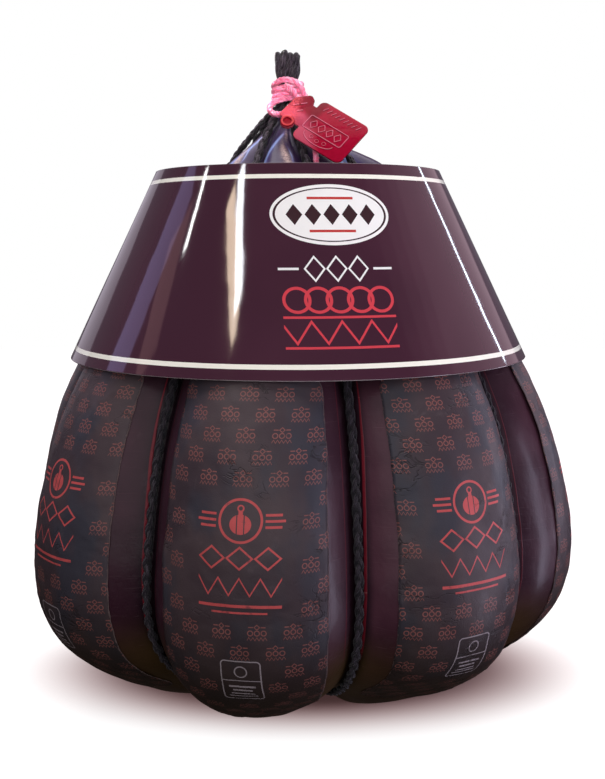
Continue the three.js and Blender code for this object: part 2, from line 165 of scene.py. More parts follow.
def noise(points, seed):
    """Smooth noise from about -1 to 1, one hump to a unit."""
    rng = np.random.default_rng(seed)
    order = np.tile(rng.permutation(256), 2)
    slopes = unit(rng.normal(size=(256, 3)))
    cell = np.floor(points).astype(int)
    place = points - cell
    cell &= 255
    fade = place**3 * (place * (place * 6 - 15) + 10)
    total = np.zeros(points.shape[:-1])
    for corner in np.ndindex(2, 2, 2):
        c = np.array(corner)
        i, j, k = np.moveaxis((cell + c) & 255, -1, 0)
        slope = slopes[order[order[order[i] + j] + k]]
        weight = np.prod(np.where(c, fade, 1 - fade), axis=-1)
        total += weight * np.sum(slope * (place - c), axis=-1)
    return total * 1.7


def noise1(values, seed):
    return noise(stack(values, 0.37, 0.71), seed)


def skin(lobe, across, along, lift=0.0):
    """The wax with its unevenness, and a height above it."""
    points = smooth_skin(lobe, across, along)
    across = np.broadcast_to(across, points.shape[:-1])
    free = 1 - np.abs(across) ** 6  # the grooves keep their form round the ropes
    foot = smoothstep(points[..., 2], 1, 14)
    uneven = 0.75 * noise(points / 46, 3) + 0.28 * noise(points / 15, 4)
    return points + skin_normal(lobe, across, along) * (uneven * free * foot + lift)[..., None]


# ---- Meshes ----
def put_in_scene(name, data):
    thing = bpy.data.objects.new(name, data)
    bpy.context.scene.collection.objects.link(thing)
    return thing


def make_piece(name, points, faces, materials, attributes, face_materials=None):
    """An object from points in millimetres, with its faces turned outwards."""
    mesh = bpy.data.meshes.new(name)
    mesh.from_pydata((points * MM).tolist(), [], faces)
    for material in materials:
        mesh.materials.append(material)
    for key, values in attributes.items():
        field = mesh.attributes.new(key, "FLOAT_VECTOR", "POINT")
        field.data.foreach_set("vector", np.asarray(values, float).ravel())
    if face_materials is not None:
        mesh.polygons.foreach_set("material_index", np.asarray(face_materials, dtype=np.int32))
    built = bmesh.new()
    built.from_mesh(mesh)
    bmesh.ops.recalc_face_normals(built, faces=built.faces)
    built.to_mesh(mesh)
    built.free()
    mesh.polygons.foreach_set("use_smooth", [True] * len(mesh.polygons))
    mesh.update()
    return put_in_scene(name, mesh)


def grid_faces(rows, columns, start=0, around=False, closed=False):
    """Quads over a grid of points counted row by row.

    Around joins the last column to the first, and closed joins the last row to the first.
    """
    r = np.arange(rows if closed else rows - 1)[:, None]
    c = np.arange(columns if around else columns - 1)[None, :]
    here, below, beside = r * columns, (r + 1) % rows * columns, (c + 1) % columns
    quads = stack(here + c, below + c, below + beside, here + beside)
    return (quads.reshape(-1, 4) + start).tolist()


def capped_faces(rings, columns):
    """The faces of rings of points, one after the other, and of a middle point at either end."""
    last = (rings - 1) * columns
    cap = lambda middle, ring: [(middle, ring + i, ring + (i + 1) % columns) for i in range(columns)]
    return (grid_faces(rings, columns, around=True) + cap(last + columns, 0)
            + cap(last + columns + 1, last))


def turns_round(count):
    return math.tau * np.arange(count) / count


def tube(centres, first, second, radii, sides, closed=False):
    """A tube round centres, across two directions given at each: capped, or closed to a ring."""
    turns = turns_round(sides)[:, None]
    radii = np.broadcast_to(np.asarray(radii, float), (len(centres),))[:, None, None]
    ring = np.cos(turns) * first[:, None] + np.sin(turns) * second[:, None]
    points = (centres[:, None] + radii * ring).reshape(-1, 3)
    if closed:
        return points, grid_faces(len(centres), sides, around=True, closed=True)
    return np.vstack([points, centres[:1], centres[-1:]]), capped_faces(len(centres), sides)


def tube_values(along, turns, third):
    """The values of a tube's points: how far along it and round it they are, and a third value."""
    values = stack(np.repeat(along, len(turns)), np.tile(turns, len(along)), third)
    return np.vstack([values, values[:1], values[-1:]])


def frames_along(centres, hint):
    """Two directions across a path at each of its points, the first near a hint."""
    tangents = unit(np.gradient(centres, axis=0))
    first = unit(hint - tangents * np.sum(hint * tangents, axis=-1, keepdims=True))
    return first, np.cross(tangents, first)


def carried_frames(centres):
    """The same where no hint fits the whole path: each one is carried on from the last."""
    tangents = unit(np.gradient(centres, axis=0))
    first = np.zeros_like(centres)
    axis = np.array([0.3, 0.2, 1.0])
    for i, tangent in enumerate(tangents):
        axis = axis - tangent * axis.dot(tangent)
        axis /= np.linalg.norm(axis)
        first[i] = axis
    return first, np.cross(tangents, first)


def run_length(points):
    """How far along its line each point lies; the lines run along the last axis but one."""
    steps = np.linalg.norm(np.diff(points, axis=-2), axis=-1)
    return np.concatenate([np.zeros((*steps.shape[:-1], 1)), np.cumsum(steps, axis=-1)], axis=-1)


def even_path(points, spacing, *others):
    """A path, and values that go with it, at even distances."""
    lengths = run_length(points)
    at = np.linspace(0, lengths[-1], max(int(lengths[-1] / spacing), 2))
    pick = lambda values: stack(*[np.interp(at, lengths, column) for column in values.T])
    return [at, pick(points)] + [pick(other) for other in others]


class Build:
    """Several closed shapes gathered into one mesh, each point and face with its own values."""

    def __init__(self):
        self.points, self.faces, self.values, self.kinds = [], [], [], []
        self.count = 0

    def add(self, points, faces, values, kind=0):
        self.points.append(points)
        self.faces += [tuple(i + self.count for i in face) for face in faces]
        self.values.append(values)
        self.kinds += [kind] * len(faces)
        self.count += len(points)

    def piece(self, name, materials):
        return make_piece(name, np.vstack(self.points), self.faces, materials,
                          {"along": np.vstack(self.values)}, self.kinds)


# ---- Materials ----
class Number:
    """A number in a node tree: arithmetic on it adds Math nodes."""

    def __init__(self, graph, socket):
        self.graph, self.socket = graph, socket

    def __abs__(self):
        return self.graph.math("ABSOLUTE", self)


def add_operator(name, operation):
    setattr(Number, f"__{name}__", lambda self, other: self.graph.math(operation, self, other))
    setattr(Number, f"__r{name}__", lambda self, other: self.graph.math(operation, other, self))


OPERATORS = {"add": "ADD", "sub": "SUBTRACT", "mul": "MULTIPLY", "truediv": "DIVIDE",
             "mod": "FLOORED_MODULO", "lt": "LESS_THAN"}
for name, operation in OPERATORS.items():
    add_operator(name, operation)


class Nodes:
    """A node tree, and short ways to add nodes to it."""

    def __init__(self, tree):
        self.tree = tree
        tree.nodes.clear()

    def put(self, socket, value):
        """Link a node's output to a socket, or set the socket itself to a constant."""
        if isinstance(value, Number):
            value = value.socket
        if isinstance(value, bpy.types.NodeSocket):
            self.tree.links.new(value, socket)
        elif isinstance(value, tuple) and len(value) == 3 and len(socket.default_value) == 4:
            socket.default_value = (*value, 1.0)
        else:
            socket.default_value = value

    def node(self, kind, inputs=None, **settings):
        node = self.tree.nodes.new("ShaderNode" + kind)
        for key, value in settings.items():
            setattr(node, key, value)
        for key, value in (inputs or {}).items():
            self.put(node.inputs[key], value)
        return node

    def math(self, operation, *values):
        node = self.node("Math", dict(enumerate(values)), operation=operation)
        return Number(self, node.outputs[0])

    def low(self, first, *rest):
        return functools.reduce(lambda a, b: self.math("MINIMUM", a, b), rest, first)

    def high(self, first, *rest):
        return functools.reduce(lambda a, b: self.math("MAXIMUM", a, b), rest, first)

    def attribute(self, name):
        return self.node("Attribute", attribute_name=name).outputs["Vector"]

    def split(self, vector):
        node = self.node("SeparateXYZ", {0: vector})
        return tuple(Number(self, out) for out in node.outputs)

    def join(self, x, y, z):
        return self.node("CombineXYZ", {0: x, 1: y, 2: z}).outputs[0]

    def place(self):
        """Where a point of the object is, in millimetres."""
        node = self.node("VectorMath", {0: self.node("TexCoord").outputs["Object"], "Scale": 1000.0},
                         operation="SCALE")
        return node.outputs[0]

    def grain(self, vector, scale, detail=2.0, roughness=0.5, distortion=0.0):
        node = self.node("TexNoise", {"Vector": vector, "Scale": scale, "Detail": detail,
                                      "Roughness": roughness, "Distortion": distortion})
        return Number(self, node.outputs["Fac"])

    def stretch(self, vector, up):
        node = self.node("VectorMath", {0: vector, 1: (1.0, 1.0, up)}, operation="MULTIPLY")
        return node.outputs[0]

    def ramp(self, value, low, high, to_low=0.0, to_high=1.0):
        """A smooth step from to_low to to_high, while a value goes from low to high."""
        node = self.node("MapRange", {0: value, 1: low, 2: high, 3: to_low, 4: to_high},
                         interpolation_type="SMOOTHSTEP")
        return Number(self, node.outputs[0])

    def mix(self, factor, first, second):
        node = self.node("Mix", data_type="RGBA")
        colours = [s for s in node.inputs if s.type == "RGBA"]
        self.put(node.inputs[0], factor)
        self.put(colours[0], first)
        self.put(colours[1], second)
        return next(s for s in node.outputs if s.type == "RGBA")

    def layers(self, colour, *above):
        """A colour with others laid over it, each given after how much of it shows."""
        for factor, layer in above:
            colour = self.mix(factor, colour, layer)
        return colour

    def bump(self, height, distance, strength):
        """A relief of a height from 0 to 1, whose whole depth is a distance in metres."""
        inputs = {"Strength": strength, "Distance": distance, "Height": height}
        return self.node("Bump", inputs).outputs[0]

    # Flat shapes, each as a distance that is below 0 inside it.
    def box(self, x, y, across, up):
        return self.high(abs(x) - across, abs(y) - up)

    def length(self, x, y):
        return self.math("SQRT", x * x + y * y)

    def round_box(self, x, y, across, up, radius):
        dx = self.high(abs(x) - (across - radius), 0.0)
        dy = self.high(abs(y) - (up - radius), 0.0)
        return self.length(dx, dy) - radius

    def ring(self, x, y, radius, line):
        return abs(self.length(x, y) - radius) - line / 2

    def lozenge(self, x, y, across, up, line):
        return abs(abs(x) * (up / across) + abs(y) - up) - line / 2

    def zigzag(self, x, y, period, up, line):
        wave = abs((x % period) - period / 2) * (4 * up / period) - up
        return abs(y - wave) - line / 2


class Graph(Nodes):
    """One material's nodes, round a Principled shader."""

    def __init__(self, name, **constants):
        self.material = bpy.data.materials.new(name)
        self.material.use_nodes = True
        super().__init__(self.material.node_tree)
        self.shader = self.node("BsdfPrincipled")
        self.node("OutputMaterial", {0: self.shader.outputs[0]})
        self.finish(**constants)

    def finish(self, **inputs):
        for key, value in inputs.items():
            self.put(self.shader.inputs[key.replace("_", " ")], value)
        return self.material


def wax_material():
    g = Graph("dark_wax", IOR=1.44, Specular_IOR_Level=0.2, Coat_Weight=0.06, Coat_Roughness=0.16,
              Coat_IOR=1.45)
    place = g.place()
    z = g.split(place)[2]
    away, along, _ = g.split(g.attribute("flank"))  # from the groove's middle, and down the lobe
    red_line, strength, rim = g.split(g.attribute("marks"))
    beige_reflection, lilac_highlight, plum_and_sheen = g.split(g.attribute("neck"))
    cloud = g.grain(place, 0.018, 3, 0.55)
    fine = g.grain(place, 0.35, 3, 0.6)
    clouded = g.ramp(cloud, 0.35, 0.68)
    dark = g.mix(clouded, (0.027, 0.0085, 0.016), (0.045, 0.0155, 0.026))
    # Painted shade: the wax darkens towards the middle of each groove, beside the ropes.
    dark = g.mix(g.ramp(away, 24, 5) * 0.75, dark, (0.009, 0.0035, 0.007))
    paler = g.mix(clouded, (0.050, 0.0165, 0.028), (0.078, 0.028, 0.043))
    # Near the floor the wax is painted darker and browner: painted shade, with a painted brown
    # reflection that is strongest at the lobes' sides.
    foot = g.ramp(z + (cloud - 0.5) * 60, 100, 30)
    bloom = g.ramp(g.grain(place, 0.06, 4, 0.6), 0.56, 0.74) * g.ramp(z, 60, 120)
    # On the neck: a painted pale brownish reflection, broken up by speckles, and painted blue-violet
    # highlights.
    speckle = g.ramp(g.grain(place, 0.42, 3, 0.7), 0.36, 0.58)
    blue = g.mix(g.ramp(lilac_highlight, 0.35, 0.85), (0.11, 0.10, 0.31), (0.32, 0.40, 0.76))
    # A red line runs down each flank beside the rope, creased across here and there.
    wander = (g.grain(g.join(along * 0.05, 0.0, 0.0), 1.0, 2) - 0.5) * 0.9
    line = g.ramp(abs(red_line + wander), 1.3, 0.6) * strength
    crease = g.ramp(g.grain(g.join(away * 0.05, along * 0.55, z * 0.02), 1.0, 1), 0.7, 0.76)
    red = g.mix(crease * 0.5, (0.17, 0.011, 0.021), (0.40, 0.15, 0.15))
    scratches = g.ramp(g.grain(g.join(away * 0.02, along * 1.1, z * 1.1), 1.0, 2), 0.64, 0.78)
    colour = g.layers(
        dark,
        # A paler purple away from the grooves, and a painted sheen on lobe 0's left flank.
        (plum_and_sheen * g.ramp(away, 7, 14), paler),
        (foot * 0.92, (0.0105, 0.0058, 0.0018)),
        # Painted brown reflection, low on the lobes and most at their sides.
        (rim * g.ramp(cloud, 0.3, 0.6, 0.6, 1.0), (0.060, 0.036, 0.006)),
        (bloom * 0.16, (0.13, 0.075, 0.095)),
        (g.ramp(z, 372, 384) * 0.8, (0.042, 0.019, 0.070)),
        # Painted blue-violet highlights and a painted pale brownish reflection on the neck.
        (lilac_highlight, blue),
        (beige_reflection * (0.35 + speckle * 0.65), (0.66, 0.47, 0.42)),
        (line * 0.92, red),
        (scratches * 0.26, (0.15, 0.07, 0.085)),
    )
    relief = fine * 0.5 + g.grain(place, 0.11, 2) * 0.5 + line * 0.9 + scratches * 0.2
    return g.finish(
        Base_Color=colour,
        Roughness=g.ramp(cloud + fine * 0.3, 0.35, 0.95, 0.26, 0.40),
        Normal=g.bump(relief, 0.0005, 0.55),
    )


def paper_material():
    """The strips: charcoal paper, printed in red with a lattice of sprigs and one large device."""
    g = Graph("printed_paper", IOR=1.45, Specular_IOR_Level=0.22)
    place = g.place()
    z = g.split(place)[2]
    x, y, edge = g.split(g.attribute("print"))  # from the device's middle, in millimetres
    wide, high = 21.5, 13.0  # one cell of the lattice; every other row is set aside by half a cell
    odd = g.math("FLOOR", y / high) % 2.0
    cx = (x + odd * (wide / 2)) % wide - wide / 2
    cy = y % high - high / 2
    column, row = x - cx, y - cy
    device_half, panel_down = 25.5, 80.0
    thrice = (cx + 6.0) % 4.0 - 2.0
    within = abs(cx) - 5.9
    sprig = g.low(
        g.high(g.ring(thrice, cy, 1.5, 0.62), within),
        g.high(g.zigzag(cx, cy + 3.5, 2.4, 1.0, 0.66), within),
        g.lozenge(cx, cy - 3.6, 1.6, 1.5, 0.7),
        g.box(abs(cx) - 3.7, cy - 3.6, 1.4, 0.34),
    )
    # Sprigs leave the device and the panel clear.
    clear = g.low(g.box(column, row - 2.0, 33.0, 40.0), g.box(column, row + panel_down, 18.0, 20.0))
    sprig = g.high(sprig, clear * -1.0)
    device = g.low(
        g.ring(x, y - 21.0, 12.6, 1.5),
        g.high(g.length(x / 1.1, y - 18.8) - 5.9, 0.34 - abs(abs(x) - 2.2)),
        g.box(x, y - 25.6, 1.3, 1.4),
        g.ring(x, y - 28.3, 1.7, 0.9),
        g.box(abs(x) - 19.8, abs(y - 21.0) - 3.6, 5.0, 0.75),
        g.box(abs(x) - 20.8, y - 21.0, 6.0, 0.75),
        g.high(g.lozenge((x + 8.5) % 17.0 - 8.5, y + 1.0, 7.6, 6.4, 1.5), abs(x) - device_half),
        g.high(g.zigzag(x, y + 18.0, 12.75, 5.2, 1.5), abs(x) - device_half),
        g.box(x, y + 29.5, device_half, 0.9),
        g.box(x, y + 33.5, 17.0, 0.6),
    )
    # The plain white panel near the foot: an outline, a dividing line, a ring and bars.
    py = y + panel_down
    panel = g.low(
        abs(g.round_box(x, py, 12.0, 16.0, 2.4)) - 0.4,
        g.box(x, py - 2.0, 12.0, 0.35),
        g.ring(x, py - 8.6, 3.7, 0.8),
        g.box(x, py + 3.0, 8.2, 0.75),
        g.box(x, py + 6.4, 6.0, 0.75),
        g.box(x, py + 9.8, 7.2, 0.45),
        g.box(x, py + 12.4, 8.6, 0.45),
    )
    worn = g.grain(place, 0.16, 4, 0.65)
    # The ink is worn in patches, and fades towards the bottom with the painted shade there.
    ink = g.ramp(worn, 0.28, 0.44, 0.4, 1.0) * g.ramp(z, 10, 110, 0.35, 1.0)
    fibre = g.grain(place, 1.3, 2, 0.5)
    cloud = g.grain(place, 0.022, 3)
    blue_patches = g.ramp(g.grain(g.stretch(place, 0.6), 0.03, 3), 0.45, 0.66)
    scuffs = g.ramp(g.grain(g.stretch(place, 0.5), 0.05, 5, 0.7, 1.2), 0.60, 0.80)
    # A pale frayed fringe along the strip's edges, strongest on the right edge, where it is also a
    # painted highlight.
    torn_fringe_and_highlight = g.ramp(edge + (g.grain(place, 0.5, 2) - 0.5) * 2.0, 0.85, 0.4)
    folds = g.grain(g.stretch(place, 1.7), 0.055, 3, 0.55, 0.8)
    sharp = g.ramp(abs(folds - 0.5), 0.0, 0.028)
    nicks = g.ramp(g.grain(place, 0.028, 1), 0.52, 0.66)
    colour = g.layers(
        g.mix(g.ramp(cloud, 0.33, 0.68), (0.045, 0.0300, 0.037), (0.067, 0.046, 0.051)),
        (blue_patches * 0.8, (0.036, 0.037, 0.051)),
        # Painted shade: the paper darkens towards the bottom.
        (g.ramp(z, 135, 30) * 0.9, (0.015, 0.010, 0.0055)),
        (scuffs * 0.22, (0.17, 0.13, 0.14)),
        ((sprig < 0.0) * ink * 0.85, (0.25, 0.086, 0.074)),
        ((device < 0.0) * ink, (0.51, 0.078, 0.079)),
        ((panel < 0.0) * g.ramp(worn, 0.25, 0.45, 0.35, 0.8), (0.34, 0.29, 0.31)),
        (torn_fringe_and_highlight * 0.45, (0.22, 0.155, 0.150)),
        ((1.0 - sharp) * nicks * 0.55, (0.012, 0.008, 0.009)),
    )
    relief = sharp * 0.6 * nicks + g.grain(place, 0.12, 3) * 0.55 + fibre * 0.16
    return g.finish(
        Base_Color=colour,
        Roughness=g.ramp(fibre + worn, 0.7, 1.3, 0.36, 0.52),
        Normal=g.bump(relief, 0.0009, 0.6),
    )


def rope_material():
    g = Graph("rope_fibre", IOR=1.5, Specular_IOR_Level=0.25, Roughness=0.78, Sheen_Weight=0.08,
              Sheen_Roughness=0.5)
    z = g.split(g.place())[2]
    along, turn, out = g.split(g.attribute("along"))  # out from the plait's middle plane, up to 1
    twist = turn * 1.6 + along * 0.35
    fibres = g.grain(g.join(twist * 2.0, along * 0.22, 0.0), 1.0, 3, 0.6)
    tufts = g.grain(g.join(turn * 1.2, along * 0.08, 3.0), 1.0, 3, 0.6)
    # Tufts are pale. Painted shade darkens the rope inside its plait, below the neck where it runs in
    # the grooves, and over the loop's top.
    colour = g.layers(
        g.mix(g.ramp(fibres, 0.40, 0.66), (0.012, 0.007, 0.011), (0.085, 0.060, 0.080)),
        (g.ramp(tufts, 0.52, 0.70) * 0.7, (0.22, 0.17, 0.22)),
        (g.ramp(abs(out), 0.72, 0.2) * 0.9, (0.004, 0.0025, 0.004)),
        (g.ramp(z, 385, 330) * 0.68, (0.006, 0.005, 0.010)),
        (g.ramp(z, 444, 450) * 0.55, (0.004, 0.002, 0.003)),
    )
    yarns = g.math("SINE", turn * 5.0 + along * 1.5) * 0.25
    return g.finish(Base_Color=colour, Normal=g.bump(fibres + yarns, 0.0011, 0.9))


def string_material(name, deep, pale):
    g = Graph(name, IOR=1.5, Specular_IOR_Level=0.4, Roughness=0.45, Sheen_Weight=0.25,
              Subsurface_Weight=0.15, Subsurface_Radius=(0.004, 0.002, 0.002), Subsurface_Scale=0.5)
    along, turn, ply = g.split(g.attribute("along"))
    fibres = g.grain(g.join(turn * 2.2 + along * 0.9, along * 0.3, ply * 4.0), 1.0, 3, 0.6)
    patches = g.grain(g.join(along * 0.11, ply * 3.0, turn * 0.25), 1.0, 2, 0.5)
    colour = g.mix(g.ramp(fibres, 0.38, 0.66), deep, pale)
    colour = g.mix(g.ramp(patches, 0.54, 0.72) * 0.4, colour, (0.95, 0.58, 0.70))
    return g.finish(Base_Color=colour, Normal=g.bump(fibres, 0.0007, 0.8))


def card_materials():
    """The collar's printed and varnished face, and the bare card of its rims and inside."""
    g = Graph("varnished_card", IOR=1.5, Specular_IOR_Level=0.3, Roughness=0.07, Coat_Weight=0.3,
              Coat_Roughness=0.03, Coat_IOR=1.5)
    place = g.place()
    x, down, _ = g.split(g.attribute("print"))  # from the print's middle line, and from the top edge
    # How far down the middle of each row of the print is. In a row, y counts up from its middle.
    plaque_down, lozenges_down, chain_down, zigzag_down = 37.0, 74.5, 95.5, 117.0
    top_line, foot_line = 9.6, 139.2
    y = plaque_down - down
    plaque = g.length(x / 39.5, y / 21.5) - 1.0
    rim = abs(g.length(x / 36.8, y / 18.8) - 1.0) - 0.022
    lozenges = g.high(abs((x + 6.0) % 12.0 - 6.0) / 5.3 + abs(y) / 7.4 - 1.0, abs(x) - 30.0)
    bars = g.box(x, abs(y) - 11.6, 15.0, 0.9)
    y = lozenges_down - down
    white = g.low(
        g.high(g.lozenge((x + 7.0) % 14.0 - 7.0, y, 6.2, 8.2, 1.9), abs(x) - 21.0),
        g.box(abs(x) - 30.5, y, 6.5, 0.8),
    )
    y = chain_down - down
    chain = g.low(*[g.ring(x - step * 13.4, y, 8.0, 2.0) for step in range(-2, 3)])
    y = zigzag_down - down
    zigzag = g.low(
        g.high(g.zigzag(x, y, 19.0, 7.2, 2.5), abs(x) - 36.0),
        g.box(x, abs(y) - 10.0, 36.0, 0.8),
    )
    lines = g.low(abs(down - top_line) - 1.5, abs(down - foot_line) - 1.6)
    clouded = g.ramp(g.grain(place, 0.012, 2), 0.35, 0.65)
    colour = g.layers(
        g.mix(clouded, (0.050, 0.0130, 0.0262), (0.060, 0.0166, 0.0315)),
        (plaque < 0.0, (0.94, 0.91, 0.89)),
        (g.low(rim, lozenges) < 0.0, (0.045, 0.018, 0.022)),
        (bars < 0.0, (0.55, 0.05, 0.045)),
        (white < 0.0, (0.88, 0.86, 0.85)),
        (g.low(chain, zigzag) < 0.0, (0.66, 0.055, 0.075)),
        (lines < 0.0, (0.96, 0.93, 0.82)),
    )
    waver = g.grain(place, 0.02, 2) + g.grain(place, 0.55, 2) * 0.016
    face = g.finish(Base_Color=colour, Normal=g.bump(waver, 0.0012, 0.35))

    g = Graph("bare_card", IOR=1.45, Specular_IOR_Level=0.3, Roughness=0.75)
    grain = g.grain(g.place(), 0.9, 3)
    colour = g.mix(g.ramp(grain, 0.4, 0.7), (0.42, 0.36, 0.37), (0.56, 0.50, 0.49))
    return face, g.finish(Base_Color=colour, Normal=g.bump(grain, 0.0002, 0.5))


def seal_material():
    g = Graph("clear_red_plastic", IOR=1.46, Specular_IOR_Level=0.07, Roughness=0.14)
    along, up, height = g.split(g.attribute("along"))  # in the seal's own plane, and out of it
    cloudy = g.grain(g.join(along * 0.12, up * 0.12, 0.0), 1.0, 3, 0.6)
    crystals = g.grain(g.join(along * 0.42, up * 0.42, 0.0), 1.0, 3, 0.7)
    grainy = g.ramp(abs(crystals - 0.5), 0.01, 0.075)
    # The head is thin and crystalline. The plate is pink at the corner nearest to it, and dark
    # along the rest of that edge.
    head = g.ramp(along + up * 0.6 + cloudy * 10, -20, -28)
    pink = g.ramp(up * -0.9 - along, 12, 24) * g.ramp(up, 5, -1)
    edge = g.ramp(along, -12, -17) * (1.0 - pink)
    knob = g.ramp(height, 2.05, 2.25)
    raised = g.ramp(height, 1.55, 1.9) * (1.0 - knob)
    colour = g.layers(
        g.mix(g.ramp(cloudy, 0.4, 0.65) * 0.4, (0.34, 0.003, 0.024), (0.42, 0.006, 0.038)),
        (pink * 0.75, (0.56, 0.080, 0.14)),
        (edge * 0.8, (0.15, 0.0015, 0.009)),
        (head * (0.12 + grainy * 0.88), (0.66, 0.068, 0.090)),
        (raised * 0.6, (0.74, 0.22, 0.32)),
        # Painted highlight: the ring on the knob's top is a brighter red than the rest of the knob.
        (knob, g.mix(g.ramp(height, 3.1, 3.35), (0.30, 0.004, 0.015), (0.62, 0.060, 0.065))),
    )
    return g.finish(Base_Color=colour, Normal=g.bump(cloudy + grainy * head * 1.1, 0.0006, 0.4))


WAX = wax_material()
PAPER = paper_material()
ROPE = rope_material()
STRING_DEEP = string_material("pink_ply", (0.86, 0.085, 0.21), (0.95, 0.30, 0.46))
STRING_PALE = string_material("pale_ply", (0.90, 0.16, 0.32), (0.96, 0.44, 0.58))
CARD_FACE, CARD_BARE = card_materials()
SEAL = seal_material()


# ---- The pieces ----
def join_on(piece, slot, *nodes):
    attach(piece, "root")
    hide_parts(*nodes)


def neck_marks(lobe, across, height):
    """Where the neck has a painted pale brownish reflection and painted blue-violet highlights, and
    how much paler purple the wax is lower down, with a painted sheen on lobe 0's left flank.
    """
    aside = 0.12 * np.sin(lobe * 2.4 - 16.8)
    low = smoothstep(height, 374, 384)
    beige_reflection = bell(across, 0.17 + 0.018 * (393 - height) + aside, 0.13) * bell(height, 391, 8)
    beige_reflection = beige_reflection + 0.5 * bell(across, 0.30 + aside, 0.12) * bell(height, 407, 4)
    # The painted highlights: a streak that rises across each lobe, and an arc low on the neck.
    rising = np.where(lobe % 2 == 0, 0.12 + 0.014 * (height - 388),
                      -0.70 + 0.0016 * np.maximum(height - 386, 0) ** 2)
    streak = bell(across, rising + aside, 0.17) * smoothstep(height, 412, 405)
    arc = bell(across, 0.48 - 0.0014 * np.maximum(height - 387, 0) ** 2 + aside, 0.045)
    arc = arc * bell(height, 391, 7)
    lilac_highlight = np.clip(0.92 * streak + 0.75 * arc, 0, 0.92) * low
    # Below the neck: a paler purple tone, and a painted sheen on lobe 0's left flank.
    plum_and_sheen = (0.25 + 0.75 * (lobe == 0) * (across < 0)) * (1 - low)
    return stack(np.clip(beige_reflection, 0, 1) * low, lilac_highlight, plum_and_sheen)


LOBE_APART = 431.0  # between one lobe's distances down it and the next one's, for other patterns


def make_wax():
    """The cheese, with what its material reads at each point."""
    per_lobe, rows = 64, 176
    columns = per_lobe * LOBES
    u = -1 + 2 * np.arange(per_lobe) / per_lobe
    lobe, across, along = np.broadcast_arrays(
        np.repeat(np.arange(LOBES), per_lobe),
        np.tile(0.5 * u + 0.5 * np.sin(math.pi * u / 2), LOBES),
        (np.arange(1, rows) / rows)[:, None])
    points = skin(lobe, across, along)
    height = points[..., 2]
    # How far each point is from the nearer groove, measured over the wax.
    closed = np.concatenate([points, points[:, :1]], axis=1)
    run = run_length(closed[:, np.arange(LOBES)[:, None] * per_lobe + np.arange(per_lobe + 1)])
    away = np.minimum(run, run[..., -1:] - run)[..., :-1].reshape(rows - 1, -1)
    down = run_length(half_section(CREST, along[:, 0]))[:, None] + lobe * LOBE_APART
    # The line beside the rope, in its own half widths: broad on every other lobe, else a hairline.
    even = lobe % 2 == 0
    middle = np.where(even, 5.9 + 0.026 * np.clip(height - 100, 0, 130), 12.2)
    half = np.where(even, 0.5 + 0.65 * smoothstep(height, 240, 190), 0.42)
    strength = np.where(even, 1.0, 0.45) * smoothstep(height, 66, 84) * smoothstep(height, 262, 236)
    # Where the wax is painted with a brown reflection: low on each lobe, most at its sides and away
    # from its grooves, and all round the very bottom.
    side = smoothstep(np.abs(across), 0.35, 0.85)
    rim = 0.55 * smoothstep(height, 100, 62) * (0.12 + 0.88 * side) * smoothstep(away, 3, 9)
    rim = np.maximum(rim, 0.5 * smoothstep(height, 12, 3))
    attributes = {
        "flank": stack(away, down, 0.0),
        "marks": stack((away - middle) / half, strength, rim),
        "neck": neck_marks(lobe, across, height),
    }
    for key, values in attributes.items():
        attributes[key] = np.vstack([values.reshape(-1, 3), np.zeros((2, 3))])
    poles = [on_azimuth(0, 0, CREST[0][1]), on_azimuth(0, 0, CREST[-1][1])]
    piece = make_piece("cheese_wax", np.vstack([points.reshape(-1, 3), poles]),
                       capped_faces(rows - 1, columns), [WAX], attributes)
    join_on(piece, "wax", "cheese")


# The device's middle, below a strip's upper end, and how far it is set aside, strip by strip.
DEVICE_DOWN = [108, 112, 104, 110, 106, 112, 104, 112]
DEVICE_ASIDE = [5, 3, -4, 2, -3, 4, -6, -1]
PAPER_FACES = (0.52, 0.20)  # how far the paper's two faces lie off the wax


